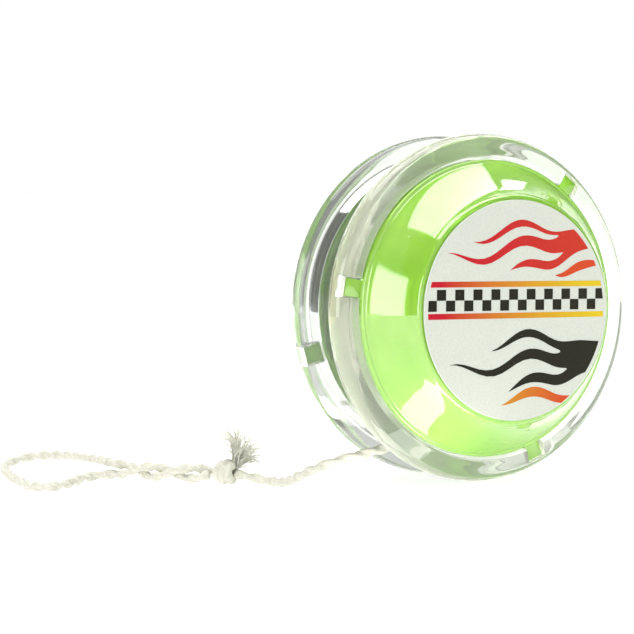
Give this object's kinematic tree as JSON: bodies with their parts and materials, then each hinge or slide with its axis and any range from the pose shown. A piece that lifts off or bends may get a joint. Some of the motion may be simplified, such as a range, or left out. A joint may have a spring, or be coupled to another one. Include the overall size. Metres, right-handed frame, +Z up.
{
  "type": "yo yo",
  "caption": "Clear plastic yo yo with translucent green cups and flame labels, its cotton string led out to a knotted finger loop.",
  "frame": {"origin": "on the floor, straight below the middle of the axle", "axes": "+Z up; the axle runs along Y, with the front label towards -Y; the string leaves towards -X and then runs towards +Y"},
  "size_m": [0.0883, 0.0949, 0.0569],
  "materials": {
    "clear_plastic": "moulded clear plastic, polished",
    "green_plastic": "moulded translucent green plastic, glossy",
    "label": "printed film label, satin",
    "steel": "turned steel",
    "zinc": "zinc plated steel",
    "brass": "turned brass",
    "rubber": "moulded silicone rubber, dull",
    "cotton": "twisted undyed cotton"
  },
  "bodies": {
    "string": {"axle_sleeve": "brass", "string_winding": "cotton", "string_run": "cotton", "string_knot": "cotton", "string_frayed_end": "cotton", "finger_loop": "cotton"},
    "yoyo": {"axle_rod": "steel", "front_shell": "clear_plastic", "rear_shell": "clear_plastic", "front_cup": "green_plastic", "rear_cup": "green_plastic", "front_label": "label", "rear_label": "label", "front_washer": "steel", "rear_washer": "steel", "front_nut": "zinc", "rear_nut": "zinc", "front_spacer": "brass", "rear_spacer": "brass", "front_friction_pad": "rubber", "rear_friction_pad": "rubber"}
  },
  "joints": [
    {"name": "axle_spin", "type": "hinge", "parent": "string", "child": "yoyo", "pos_m": [0, 0, 0.02844], "axis": [0, 1, 0], "continuous": true}
  ]
}
